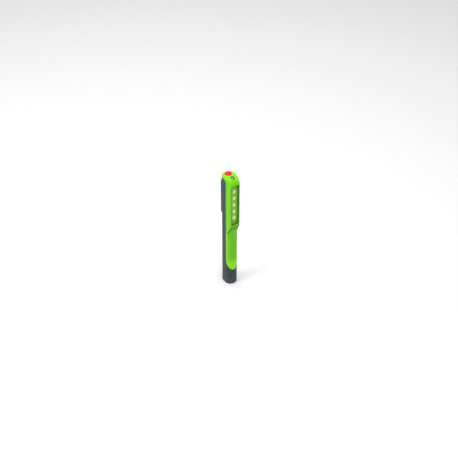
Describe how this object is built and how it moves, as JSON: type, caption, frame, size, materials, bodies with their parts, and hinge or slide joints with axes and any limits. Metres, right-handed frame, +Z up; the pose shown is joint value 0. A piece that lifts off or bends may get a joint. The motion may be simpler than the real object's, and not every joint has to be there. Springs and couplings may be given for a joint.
{
  "type": "pen inspection light",
  "caption": "Slim upright pen inspection light with a strip of lights in a front window, a torch light in the top, a push button, a folding magnetic pocket clip and a pull-off base cap.",
  "frame": {"origin": "centre of the flat underside of the base cap", "axes": "+Z up along the light, -Y out of the light strip's window, +Y out of the clip, +X to the right seen from the front"},
  "size_m": [0.0158, 0.0245, 0.1613],
  "materials": {
    "green_shell": "satin moulded plastic, lime green",
    "grey_shell": "satin moulded plastic, dark slate grey",
    "clip_grey": "satin moulded plastic, dark slate grey",
    "red_button": "soft gloss red plastic",
    "clear_lens": "clear polycarbonate",
    "torch_body": "water-clear moulded lens",
    "dark_plastic": "black moulded plastic",
    "board": "pale solder mask",
    "green_board": "green solder mask",
    "package": "white moulded package",
    "phosphor": "yellow phosphor in clear resin",
    "plated_metal": "nickel-plated strip",
    "spring_steel": "plated spring wire",
    "contact_brass": "plated brass",
    "cell_wrap": "plain wrapped cell",
    "carrier_plastic": "natural moulded plastic",
    "seal_rubber": "black rubber",
    "magnet": "nickel-plated magnet",
    "pin_steel": "ground steel pin",
    "screw_steel": "zinc-plated steel"
  },
  "bodies": {
    "housing": {"front_housing": "green_shell", "rear_housing": "grey_shell", "cap_seal": "seal_rubber", "cell_bottom": "cell_wrap", "cell_middle": "cell_wrap", "cell_top": "cell_wrap", "battery_tube": "dark_plastic", "top_contact": "contact_brass", "contact_carrier": "carrier_plastic", "negative_strip": "plated_metal", "switch_board": "green_board", "switch_body": "dark_plastic", "led_board": "board", "led_packages": "package", "led_phosphors": "phosphor", "driver_parts": "dark_plastic", "link_pins": "contact_brass", "window_lens": "clear_lens", "torch_led": "torch_body", "torch_leads": "plated_metal", "torch_bezel": "dark_plastic", "clip_pin": "pin_steel", "housing_screws": "screw_steel"},
    "button": {"push_button": "red_button"},
    "plunger": {"switch_plunger": "pin_steel"},
    "clip": {"clip_arm": "clip_grey", "clip_magnet": "magnet"},
    "cap": {"base_cap": "grey_shell", "cap_contact": "plated_metal", "contact_spring": "spring_steel"}
  },
  "joints": [
    {"name": "button_press", "type": "slide", "parent": "housing", "child": "button", "axis": [0, 0, -1], "range_m": [0, 0.0005], "stiffness_N_per_m": 3000, "springref_m": -0.0002},
    {"name": "plunger_travel", "type": "slide", "parent": "housing", "child": "plunger", "axis": [0, 0, -1], "range_m": [0, 0.0005], "stiffness_N_per_m": 500, "springref_m": -0.0002},
    {"name": "clip_fold", "type": "hinge", "parent": "housing", "child": "clip", "pos_m": [0, 0.0109, 0.149], "axis": [1, 0, 0], "range_deg": [0, 95]},
    {"name": "cap_pull", "type": "slide", "parent": "housing", "child": "cap", "axis": [0, 0, -1], "range_m": [0, 0.008]}
  ],
  "couplings": [
    {"joint": "plunger_travel", "follows": "button_press", "ratio": 1}
  ]
}
